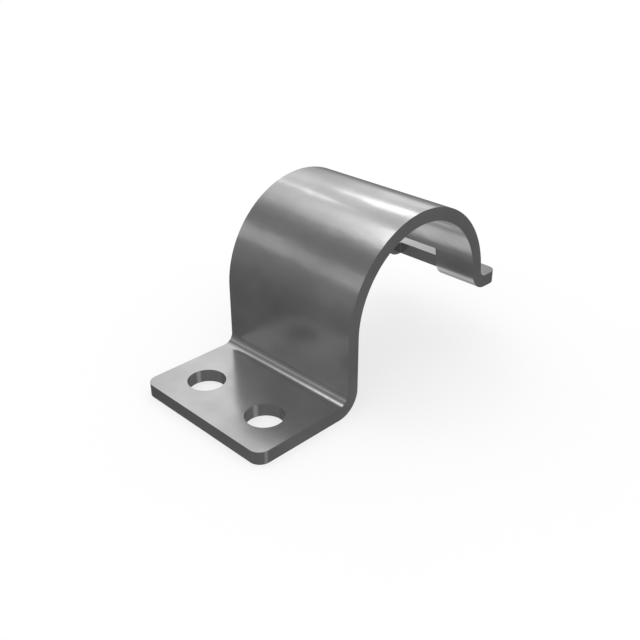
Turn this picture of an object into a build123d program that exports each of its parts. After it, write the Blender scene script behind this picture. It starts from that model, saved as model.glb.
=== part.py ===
from build123d import *
import os
from math import asin, cos, degrees, sin, tan

os.makedirs("parts", exist_ok=True)

# Half pipe clip: one flat steel strip, bent cold over a former.
# X runs across the pipe from the bolted foot to the lip, Y runs along the pipe, Z is up.
# The origin is on the pipe's centre line, halfway along the strip's width. Sizes are in millimetres.

# Flat strip
strip_width = 75.0
strip_thickness = 6.0

# Arch over a pipe of 76.1 mm outside diameter
pipe_diameter = 76.1
pipe_clearance = 0.95

# Foot: lengths are taken from the leg's outside face, the drop from the pipe's centre line
foot_drop = 35.0
foot_length = 49.5
foot_bend_radius = 4.8
foot_corner_radius = 5.3

# Two holes for M16 bolts
bolt_diameter = 16.0
bolt_clearance = 1.0
bolt_row_distance = 30.0
bolt_spacing = 38.0

# Lip turned outwards on the far side: length from the arch's outside face
lip_drop = 0.8
lip_length = 13.5
lip_bend_radius = 4.3
lip_corner_radius = 4.6

# Window through the lip's bend, for the hook of the part that closes the clamp
window_width = 31.5
window_rise = 9.65
window_corner_radius = 0.3
bar_width = 7.8

# Faces of the arch and legs
arch_inside_radius = pipe_diameter / 2 + pipe_clearance
arch_outside_radius = arch_inside_radius + strip_thickness
half_thickness = strip_thickness / 2

# Heights of the middle of the strip in the foot and in the lip
foot_middle_height = half_thickness - foot_drop
lip_top_height = -lip_drop
lip_middle_height = lip_top_height - half_thickness

# Radii of the strip's middle line
arch_middle_radius = arch_inside_radius + half_thickness
foot_bend_middle_radius = foot_bend_radius + half_thickness
lip_bend_middle_radius = lip_bend_radius + half_thickness

# The lip's bend touches the arch where both circles share a tangent, a little above the pipe's centre
lip_bend_centre_height = lip_top_height + lip_bend_radius
lip_bend_angle = degrees(asin(lip_bend_centre_height / (arch_outside_radius + lip_bend_radius)))

# Ends of the strip, and the inner edge of the bar that closes the window
foot_end = arch_outside_radius + foot_length
lip_end = arch_outside_radius + lip_length
bar_edge = lip_end - bar_width

# Bolt holes
bolt_row = arch_outside_radius + bolt_row_distance
bolt_hole_diameter = bolt_diameter + bolt_clearance

# The window's upper wall stands square to the strip, so it lies on a radius of the arch
window_angle = asin(window_rise / arch_inside_radius)
cut_margin = strip_thickness / 2
window_start_radius = arch_inside_radius - cut_margin
window_start = (window_start_radius * cos(window_angle), window_start_radius * sin(window_angle))
window_floor = lip_top_height - strip_thickness - cut_margin


def bend_strip():
    """Middle line of the bent strip, from the foot's end over the arch to the lip's end."""
    foot = Line(
        (-foot_end, foot_middle_height),
        (-arch_middle_radius - foot_bend_middle_radius, foot_middle_height),
    )
    foot_bend = JernArc(foot @ 1, foot % 1, foot_bend_middle_radius, 90)
    leg = Line(foot_bend @ 1, (-arch_middle_radius, 0))
    arch = JernArc(leg @ 1, leg % 1, arch_middle_radius, lip_bend_angle - 180)
    lip_bend = JernArc(arch @ 1, arch % 1, lip_bend_middle_radius, 90 - lip_bend_angle)
    Line(lip_bend @ 1, (lip_end, lip_middle_height))


with BuildPart() as half_clip:
    # Bent strip
    with BuildSketch(Plane.XZ) as section:
        with BuildLine() as middle_line:
            bend_strip()
        trace(line_width=strip_thickness)
    extrude(amount=strip_width / 2, both=True)

    # Rounded corners at both ends of the strip
    upright_edges = half_clip.edges().filter_by(Axis.Z).group_by(Axis.X)
    fillet(upright_edges[0], radius=foot_corner_radius)
    fillet(upright_edges[-1], radius=lip_corner_radius)

    # Bolt holes in the foot
    with Locations((-bolt_row, 0, foot_middle_height)):
        with GridLocations(0, bolt_spacing, 1, 2):
            Hole(radius=bolt_hole_diameter / 2)

    # Window through the lower end of the arch, the bend and the root of the lip
    with BuildSketch(Plane.XZ) as window:
        with BuildLine():
            Polyline(
                window_start,
                (bar_edge, bar_edge * tan(window_angle)),
                (bar_edge, window_floor),
                (window_start[0], window_floor),
                close=True,
            )
        make_face()
    extrude(amount=window_width / 2, both=True, mode=Mode.SUBTRACT)

    # Punched corners of the window: two beside the bar, two in the arch
    bar_corners = half_clip.edges().filter_by(Axis.Z).filter_by_position(
        Axis.X, bar_edge - cut_margin, bar_edge + cut_margin
    )
    window_direction = Axis((0, 0, 0), (cos(window_angle), 0, sin(window_angle)))
    arch_corners = half_clip.edges().filter_by(window_direction)
    fillet(bar_corners + arch_corners, radius=window_corner_radius)

half_clip.part.label = "half_clip"
export_step(half_clip.part, "parts/half_clip.step")
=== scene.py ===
# %% [markdown]
# Half pipe clip, dressed for the camera
#
# The real object looks like one flat steel strip, bent cold: a foot with two bolt holes, a
# half-round arch over the pipe, and a lip with a window for a hook. Its shape comes ready from
# the CAD model. What is left for this script is the steel's finish and the studio that shows in
# it, because bare metal has little look of its own: it shows what stands around it.

# %% Load the frame
from math import cos, pi, radians, sin

import bpy
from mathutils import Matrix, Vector


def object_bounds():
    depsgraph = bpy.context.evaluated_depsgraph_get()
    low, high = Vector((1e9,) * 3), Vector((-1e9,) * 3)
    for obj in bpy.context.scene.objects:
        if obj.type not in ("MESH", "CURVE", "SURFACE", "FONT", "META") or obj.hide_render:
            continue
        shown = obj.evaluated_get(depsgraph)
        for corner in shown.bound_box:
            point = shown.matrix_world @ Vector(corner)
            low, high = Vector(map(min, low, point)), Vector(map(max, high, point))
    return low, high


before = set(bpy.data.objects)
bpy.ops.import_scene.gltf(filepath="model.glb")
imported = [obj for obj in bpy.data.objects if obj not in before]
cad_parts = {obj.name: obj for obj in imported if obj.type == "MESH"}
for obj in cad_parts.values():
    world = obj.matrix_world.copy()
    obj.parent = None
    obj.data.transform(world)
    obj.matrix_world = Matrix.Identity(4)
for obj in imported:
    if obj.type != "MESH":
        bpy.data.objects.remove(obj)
cad_low, cad_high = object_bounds()
MM = 0.001  # the scene's unit is the metre
print("nodes", sorted(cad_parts))
print("CAD box in mm", [round(v / MM, 1) for v in (*cad_low, *cad_high)])

# %% [markdown]
# Camera
#
# The camera stands where the photographer's did. It could be placed by eye, but a pinhole camera
# fitted to the straight edges and the holes of the clip gives the place, the direction and the
# lens together, so every edge lands on its own line in the picture. The clip is seen from the
# foot's side, 45 degrees round and 28.6 degrees down.

# %% Camera
camera_place = Vector((-260.04, -236.24, 170.84)) * MM
camera_direction = Vector((0.62069, 0.62076, -0.47896))
lens_length = 47.33
sensor_side = 36.0
nearest_seen, farthest_seen = 0.01, 50.0  # metres

camera_data = bpy.data.cameras.new("camera")
camera_data.lens = lens_length
camera_data.sensor_width = sensor_side
camera_data.clip_start, camera_data.clip_end = nearest_seen, farthest_seen
camera = bpy.data.objects.new("camera", camera_data)
camera.location = camera_place
camera.rotation_mode = "QUATERNION"
camera.rotation_quaternion = camera_direction.to_track_quat("-Z", "Y")
bpy.context.scene.collection.objects.link(camera)
bpy.context.scene.camera = camera
print("camera at", [round(v / MM, 1) for v in camera.location], "mm, lens", lens_length, "mm")

# %% [markdown]
# Two small helpers
#
# Colours are written as the sRGB hex values that a paint program shows. Shaders add light up, so
# they want linear values, and one function turns the one into the other. A second one adds a
# node with its settings and its links, so that a material reads as a list from top to bottom.


# %% Helpers
def linear_colour(code):
    """An sRGB hex colour, such as "#CECECE", as linear RGBA, by the curve of the sRGB standard."""
    parts = [int(code[i : i + 2], 16) / 255 for i in (1, 3, 5)]
    return [p / 12.92 if p <= 0.04045 else ((p + 0.055) / 1.055) ** 2.4 for p in parts] + [1.0]


def add_node(tree, kind, inputs=None, **settings):
    """Adds a node. Each input is a plain value, or the output of another node."""
    node = tree.nodes.new("ShaderNode" + kind)
    for name, value in settings.items():
        setattr(node, name, value)
    for socket, value in (inputs or {}).items():
        if isinstance(value, bpy.types.NodeSocket):
            tree.links.new(value, node.inputs[socket])
        else:
            node.inputs[socket].default_value = value
    return node


print("#CECECE is", [round(v, 3) for v in linear_colour("#CECECE")])

# %% [markdown]
# Bare rolled steel
#
# The clip looks like bare steel strip, as it leaves the rolling mill and the press, with no
# paint or zinc on it. Smooth rolls leave it satin, so that it mirrors the studio softly, a
# little sharper in one place and duller in the next, in clouds of some 30 mm. Faint streaks run
# the way the strip was rolled, which is along it and round the arch. A picture of real steel
# could be wrapped on the clip. Noise textures on the object's own coordinates are used instead,
# because they run through every bend without a seam and their scale is a real size.

# %% Clouds and rolling streaks
cloud_size = 30.0
cloud_seed = 14.0
streak_width = 2.4
streak_length = 60.0
rolled_detail = 3.0

steel = bpy.data.materials.new("mill_finish_steel")
steel.use_nodes = True
steel_tree = steel.node_tree
steel_tree.nodes.clear()

place = add_node(steel_tree, "TexCoord").outputs["Object"]
clouds = add_node(
    steel_tree,
    "TexNoise",
    {"Vector": place, "W": cloud_seed, "Scale": 1 / (cloud_size * MM), "Detail": rolled_detail},
    noise_dimensions="4D",
)
across, along = 1 / (streak_width * MM), 1 / (streak_length * MM)
rolled = add_node(steel_tree, "Mapping", {"Vector": place, "Scale": (along, across, along)})
streaks = add_node(
    steel_tree,
    "TexNoise",
    {"Vector": rolled.outputs["Vector"], "Scale": 1.0, "Detail": rolled_detail},
)
print("clouds of", cloud_size, "mm, streaks of", streak_width, "x", streak_length, "mm")

# %% [markdown]
# Sharper finish inside the arch
#
# The inside of the arch mirrors a little more sharply than the outside. Pressing it on to a
# smooth former would burnish it like that, but this is a guess. The inner faces could get a
# material of their own. Here the distance from the pipe's axis says which side of the strip a
# point is on, so one material does for both. The strip lies some 39 to 45 mm from the axis, and
# the extra gloss fades out in the middle of that, where only the cut edges could show it.

# %% Sharper inside
pipe_side, outer_side = 41.0, 43.0
burnished = -0.06

flattened = add_node(steel_tree, "VectorMath", {0: place, 1: (1, 0, 1)}, operation="MULTIPLY")
from_axis = add_node(steel_tree, "VectorMath", {0: flattened.outputs[0]}, operation="LENGTH")
inside = add_node(
    steel_tree,
    "MapRange",
    {
        "Value": from_axis.outputs["Value"],
        "From Min": outer_side * MM,
        "From Max": pipe_side * MM,
        "To Max": burnished,
    },
)
print("roughness inside the arch changes by", burnished)

# %% [markdown]
# Duller leg
#
# The leg faces the foot and would mirror it plainly, with its holes. In the picture the foot
# shows there only as a faint glow, so the leg is made duller. Perhaps it was held in jaws while
# the arch was pressed. A mask could be painted on the faces. One soft ramp over the distance
# from a line along the leg's middle does the same, and goes through both sides of the strip.

# %% Duller leg
leg_middle = Vector((-42.0, 0.0, -9.0)) * MM
grip_core, grip_edge = 10.0, 22.0
gripped = 0.12

from_leg = add_node(
    steel_tree, "VectorMath", {0: flattened.outputs[0], 1: leg_middle}, operation="DISTANCE"
)
grip = add_node(
    steel_tree,
    "MapRange",
    {
        "Value": from_leg.outputs["Value"],
        "From Min": grip_edge * MM,
        "From Max": grip_core * MM,
        "To Max": gripped,
    },
    interpolation_type="SMOOTHSTEP",
)
print("roughness on the leg rises by up to", gripped)

# %% [markdown]
# Waves round the arch
#
# The mirrored soft boxes are drawn out into wisps along the pipe, so the arch is slightly wavy.
# Waves of at most two tenths of a millimetre do that, some 10 mm wide and 30 mm long, with the
# long side along the pipe. They fade out down the leg, because the foot is nearly flat. Their
# sizes were chosen from test renders. Such low waves could be modelled by moving vertices. They
# would hardly reach the outline, so a bump that tilts the shading is enough, and the CAD mesh
# stays as it is.

# %% Waves
swim_width = 10.0
swim_length = 30.0
swim_height = 0.2
swim_seed = 57.0
swim_detail = 2.5
flat_share = 0.12
bend_start, bend_end = -26.0, 10.0

round_pipe, along_pipe = 1 / (swim_width * MM), 1 / (swim_length * MM)
pressed_on = add_node(
    steel_tree, "Mapping", {"Vector": place, "Scale": (round_pipe, along_pipe, round_pipe)}
)
swim = add_node(
    steel_tree,
    "TexNoise",
    {"Vector": pressed_on.outputs["Vector"], "W": swim_seed, "Scale": 1.0, "Detail": swim_detail},
    noise_dimensions="4D",
)
half_wave = swim_height / 2 * MM
wave = add_node(
    steel_tree, "MapRange", {"Value": swim.outputs["Fac"], "To Min": -half_wave, "To Max": half_wave}
)
height = add_node(steel_tree, "SeparateXYZ", {"Vector": place}).outputs["Z"]
bent = add_node(
    steel_tree,
    "MapRange",
    {"Value": height, "From Min": bend_start * MM, "From Max": bend_end * MM, "To Min": flat_share},
    interpolation_type="SMOOTHSTEP",
)
swell = add_node(
    steel_tree, "Math", {0: wave.outputs["Result"], 1: bent.outputs["Result"]}, operation="MULTIPLY"
)
print("waves of", swim_width, "x", swim_length, "mm, up to", swim_height, "mm high")

# %% [markdown]
# Raised front corner
#
# Near the foot's front corner the mirrored edge of the dark leg bends round, as it does where a
# corner stands a little proud. It could be a bend in the strip, but the foot's edges are
# straight in the picture, so the hump is in the shading only: it is added to the waves, and one
# Bump node tilts the shading by both.

# %% Raised corner
strip_thickness = 6.0
corner_lift = 0.7
corner_reach = 36.0

front_corner = Vector((cad_low.x, cad_low.y, cad_low.z + strip_thickness * MM))
from_corner = add_node(steel_tree, "VectorMath", {0: place, 1: front_corner}, operation="DISTANCE")
lifted = add_node(
    steel_tree,
    "MapRange",
    {
        "Value": from_corner.outputs["Value"],
        "From Min": corner_reach * MM,
        "From Max": 0.0,
        "To Max": corner_lift * MM,
    },
    interpolation_type="SMOOTHSTEP",
)
waves = add_node(
    steel_tree, "Math", {0: swell.outputs[0], 1: lifted.outputs["Result"]}, operation="ADD"
)
bump = add_node(steel_tree, "Bump", {"Height": waves.outputs[0], "Distance": 1.0, "Strength": 1.0})
print("front corner lifted by", corner_lift, "mm over", corner_reach, "mm")

# %% [markdown]
# Roughness
#
# The clouds and a share of the streaks set how dull the satin is, and the sharper inside and the
# duller leg are added. One plain value would be simpler, but then every reflection would be
# equally soft, and in the picture some are sharper than others. The sum is held at 0.27. Past
# 0.274 the renderer tells its denoiser about the steel's own surface in place of what it
# mirrors, and a faint line can show where the two ways meet.

# %% Roughness
cloud_low, cloud_high = 0.3, 0.7
streak_share = 0.2
satin_sharp = 0.15
satin_dull = 0.27
dullest = 0.27

cloudy = add_node(
    steel_tree,
    "MapRange",
    {"Value": clouds.outputs["Fac"], "From Min": cloud_low, "From Max": cloud_high},
)
both = add_node(
    steel_tree,
    "Mix",
    {"Factor": streak_share, "A": cloudy.outputs["Result"], "B": streaks.outputs["Fac"]},
)
satin = add_node(
    steel_tree,
    "MapRange",
    {"Value": both.outputs["Result"], "To Min": satin_sharp, "To Max": satin_dull},
)
worked = add_node(
    steel_tree, "Math", {0: inside.outputs["Result"], 1: grip.outputs["Result"]}, operation="ADD"
)
added = add_node(
    steel_tree, "Math", {0: satin.outputs["Result"], 1: worked.outputs[0]}, operation="ADD"
)
dullness = add_node(steel_tree, "Math", {0: added.outputs[0], 1: dullest}, operation="MINIMUM")
print("satin from", satin_sharp, "to", satin_dull, "and never past", dullest)

# %% [markdown]
# The steel shader
#
# All of it meets in one Principled BSDF. Steel is an opaque metal: metallic is 1, and the IOR
# stays at its default. The colour could be one plain grey. The clouds darken it a little where
# they make the steel duller, and that gives the faint blotches of the picture. The Mix node
# keeps a set of sockets for each kind of data, so its colour ones are picked by number.

# %% Steel shader
steel_light = "#CECECE"
steel_dark = "#B2B2B2"
colour_a, colour_b, colour_result = 6, 7, 2

tone = add_node(
    steel_tree,
    "Mix",
    {
        "Factor": cloudy.outputs["Result"],
        colour_a: linear_colour(steel_light),
        colour_b: linear_colour(steel_dark),
    },
    data_type="RGBA",
)
shader = add_node(
    steel_tree,
    "BsdfPrincipled",
    {
        "Base Color": tone.outputs[colour_result],
        "Metallic": 1.0,
        "Roughness": dullness.outputs[0],
        "Normal": bump.outputs["Normal"],
    },
)
add_node(steel_tree, "OutputMaterial", {"Surface": shader.outputs["BSDF"]})

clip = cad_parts["half_clip"]
clip.data.materials.clear()
clip.data.materials.append(steel)
print("steel nodes", len(steel_tree.nodes), "on", clip.name)

# %% [markdown]
# The studio that the steel mirrors
#
# A bright metal part is lit by what it mirrors: large soft shapes, some white and some dark. The
# top of the foot and the crown of the arch mirror a white wall behind the clip, and the leg and
# the cut edges mirror the unlit side of the room and its floor. The room could be built from
# panels. Here it is painted on the world instead, as smooth patches, which were set from what
# each face mirrors and over many test renders. A patch has a direction, a core where it is full
# and an edge where it ends, all in degrees, and a level, where 1 is white. It is laid over the
# ones before it.

# %% Patches of the room
side_level = 0.25
patches = {
    "glow beside the overhead box": dict(azimuth=100, elevation=60, core=4, edge=19, level=0.5),
    "white wall behind": dict(azimuth=43, elevation=40, core=24, edge=46, level=0.88),
    "bright foot of that wall": dict(azimuth=37, elevation=14, core=3, edge=9, level=1.15),
    "shaded corner of that wall": dict(azimuth=48, elevation=10, core=4, edge=11, level=0.55),
    "unlit end of that wall": dict(azimuth=26, elevation=26, core=8, edge=12, level=0.42),
    "light beside the low window": dict(azimuth=55, elevation=31, core=1, edge=7, level=1),
    "gap between two soft boxes": dict(azimuth=62, elevation=50, core=3, edge=9, level=0.62),
    "wall on the camera's side": dict(azimuth=-135, elevation=38, core=14, edge=44, level=1),
    "dark end of that wall": dict(azimuth=-170, elevation=30, core=5, edge=18, level=0.3),
    "wall on the camera's right": dict(azimuth=-55, elevation=42, core=12, edge=36, level=0.9),
    "pale wall on the left": dict(azimuth=92, elevation=10, core=6, edge=22, level=0.7),
    "pale wall on the right": dict(azimuth=-2, elevation=12, core=6, edge=22, level=0.7),
    "unlit floor": dict(azimuth=0, elevation=-90, core=76, edge=104, level=0.17),
    "darkest corner of that floor": dict(azimuth=118, elevation=-25, core=5, edge=19, level=0.12),
    "paler floor straight below": dict(azimuth=0, elevation=-90, core=10, edge=56, level=0.32),
    "paler floor on the left": dict(azimuth=-130, elevation=-50, core=5, edge=22, level=0.21),
    "floor beside the camera": dict(azimuth=-42, elevation=-24, core=12, edge=30, level=0.18),
    "light that falls on that floor": dict(azimuth=-79, elevation=-37, core=3, edge=15, level=0.43),
    "floor behind the clip": dict(azimuth=50, elevation=-42, core=5, edge=17, level=0.62),
    "table under the clip": dict(azimuth=97, elevation=-60, core=2, edge=20, level=0.78),
}
levels = [patch["level"] for patch in patches.values()]
print(len(patches), "patches, levels from", min(levels), "to", max(levels), "on", side_level)

# %% [markdown]
# The world
#
# The dot product of a ray's direction and a patch's own says how far apart they are, and one
# smooth ramp over it lays the patch on. Only glossy and transmission rays see this room. Camera
# rays see plain white, and diffuse rays, which only the floor sends, see one even level. One
# white for all rays would be simpler, but the steel would then look as flat as paper.


# %% World
def direction_to(azimuth, elevation):
    """Unit vector. Azimuth turns from +X towards +Y, elevation is above the horizon."""
    a, e = radians(azimuth), radians(elevation)
    return Vector((cos(a) * cos(e), sin(a) * cos(e), sin(e)))


world = bpy.data.worlds.new("studio")
bpy.context.scene.world = world
world.use_nodes = True
world_tree = world.node_tree
world_tree.nodes.clear()
ray_direction = add_node(world_tree, "TexCoord").outputs["Generated"]
level = side_level
for name, patch in patches.items():
    facing = add_node(
        world_tree,
        "VectorMath",
        {0: ray_direction, 1: direction_to(patch["azimuth"], patch["elevation"])},
        operation="DOT_PRODUCT",
    )
    laid = add_node(
        world_tree,
        "MapRange",
        {
            "Value": facing.outputs["Value"],
            "From Min": cos(radians(patch["edge"])),
            "From Max": cos(radians(patch["core"])),
            "To Min": level,
            "To Max": patch["level"],
        },
        interpolation_type="SMOOTHSTEP",
    )
    level = laid.outputs["Result"]
    print("laid on:", name)

# %% [markdown]
# What each kind of ray sees
#
# Light Path tells the kinds of ray apart. The picture needs a white background, the steel needs
# the room, and the floor needs an even light that leaves it pale. Three worlds would be needed
# without it, and there is only one. In the Standard view a strength of 1 is plain white.

# %% Rays
plain_white = 1.0
floor_light = 1.04

ray = add_node(world_tree, "LightPath").outputs
mirrored = add_node(
    world_tree, "Math", {0: ray["Is Glossy Ray"], 1: ray["Is Transmission Ray"]}, operation="MAXIMUM"
)
room = add_node(world_tree, "Mix", {"Factor": mirrored.outputs[0], "A": floor_light, "B": level})
seen = add_node(
    world_tree,
    "Mix",
    {"Factor": ray["Is Camera Ray"], "A": room.outputs["Result"], "B": plain_white},
)
sky = add_node(
    world_tree,
    "Background",
    {"Color": linear_colour("#FFFFFF"), "Strength": seen.outputs["Result"]},
)
add_node(world_tree, "OutputWorld", {"Surface": sky.outputs["Background"]})
print("world nodes", len(world_tree.nodes))

# %% [markdown]
# Soft boxes
#
# Four soft boxes hang in that room. A large one overhead and behind lights the crown of the arch,
# two small ones before the white wall are the bright spots that the steel mirrors there, and a
# weak strip on the unlit side draws the faint band along the arch's flank. They could be patches
# of the world too. Area lamps are used, because they also light the floor and give the clip its
# shadow. Their widths and heights are angles too, in degrees, and a lamp's power follows from
# the brightness that it should show and from its area.

# %% Lamps
studio_centre = Vector((-18.0, 0.0, 5.0)) * MM
lamp_distance = 1.5  # metres
soft_boxes = {
    "overhead": dict(azimuth=90, elevation=63, width=24, height=16, brightness=1.65),
    "low_window": dict(azimuth=44, elevation=36, width=8, height=6, brightness=2.25),
    "high_window": dict(azimuth=64, elevation=42, width=2, height=6, brightness=2.4),
    "side_strip": dict(azimuth=131, elevation=25.5, width=40, height=12, brightness=0.3),
}
for name, box in soft_boxes.items():
    outwards = direction_to(box["azimuth"], box["elevation"])
    lamp = bpy.data.lights.new(name, "AREA")
    lamp.shape = "RECTANGLE"
    lamp.size = lamp_distance * radians(box["width"])
    lamp.size_y = lamp_distance * radians(box["height"])
    lamp.energy = box["brightness"] * pi * lamp.size * lamp.size_y
    holder = bpy.data.objects.new(name, lamp)
    holder.location = studio_centre + outwards * lamp_distance
    holder.rotation_mode = "QUATERNION"
    holder.rotation_quaternion = (-outwards).to_track_quat("-Z", "Y")
    holder.visible_camera = False
    bpy.context.scene.collection.objects.link(holder)
    print(name, round(lamp.energy, 3), "W")

# %% [markdown]
# Floor
#
# The clip rests with its foot on a plain pale floor. Its own colour is nearly white, and camera
# rays get a share of plain white on top, so that it runs into the white background without a
# line and still keeps the clip's soft shadow. A shadow catcher could do that too, but it leaves
# no floor to stand on. The steel mirrors the painted room's darker floor and not this one,
# because in the picture the cut edges are dark and the inside of the arch is grey.

# %% Floor
floor_white = "#F6F6F6"
shadow_share = 0.35
floor_size = 12.0  # metres
floor_gap = 0.02

bpy.ops.object.select_all(action="DESELECT")
bpy.ops.mesh.primitive_plane_add(size=floor_size, location=(0, 0, cad_low.z - floor_gap * MM))
floor = bpy.context.object
floor.name = "floor"
floor.visible_glossy = False

pale = bpy.data.materials.new("pale_floor")
pale.use_nodes = True
floor_tree = pale.node_tree
floor_tree.nodes.clear()
matt = add_node(floor_tree, "BsdfDiffuse", {"Color": linear_colour(floor_white)})
white = add_node(floor_tree, "Emission", {"Strength": plain_white})
floor_ray = add_node(floor_tree, "LightPath").outputs
share = add_node(
    floor_tree, "Math", {0: floor_ray["Is Camera Ray"], 1: 1 - shadow_share}, operation="MULTIPLY"
)
mixed = add_node(
    floor_tree,
    "MixShader",
    {0: share.outputs[0], 1: matt.outputs["BSDF"], 2: white.outputs["Emission"]},
)
add_node(floor_tree, "OutputMaterial", {"Surface": mixed.outputs["Shader"]})
floor.data.materials.append(pale)
print("floor at", round(floor.location.z / MM, 2), "mm")

# %% [markdown]
# Picture settings
#
# The Standard view shows colours as they are written, where a film-like view would grey the
# whites.

# %% Finish
bpy.context.scene.view_settings.view_transform = "Standard"
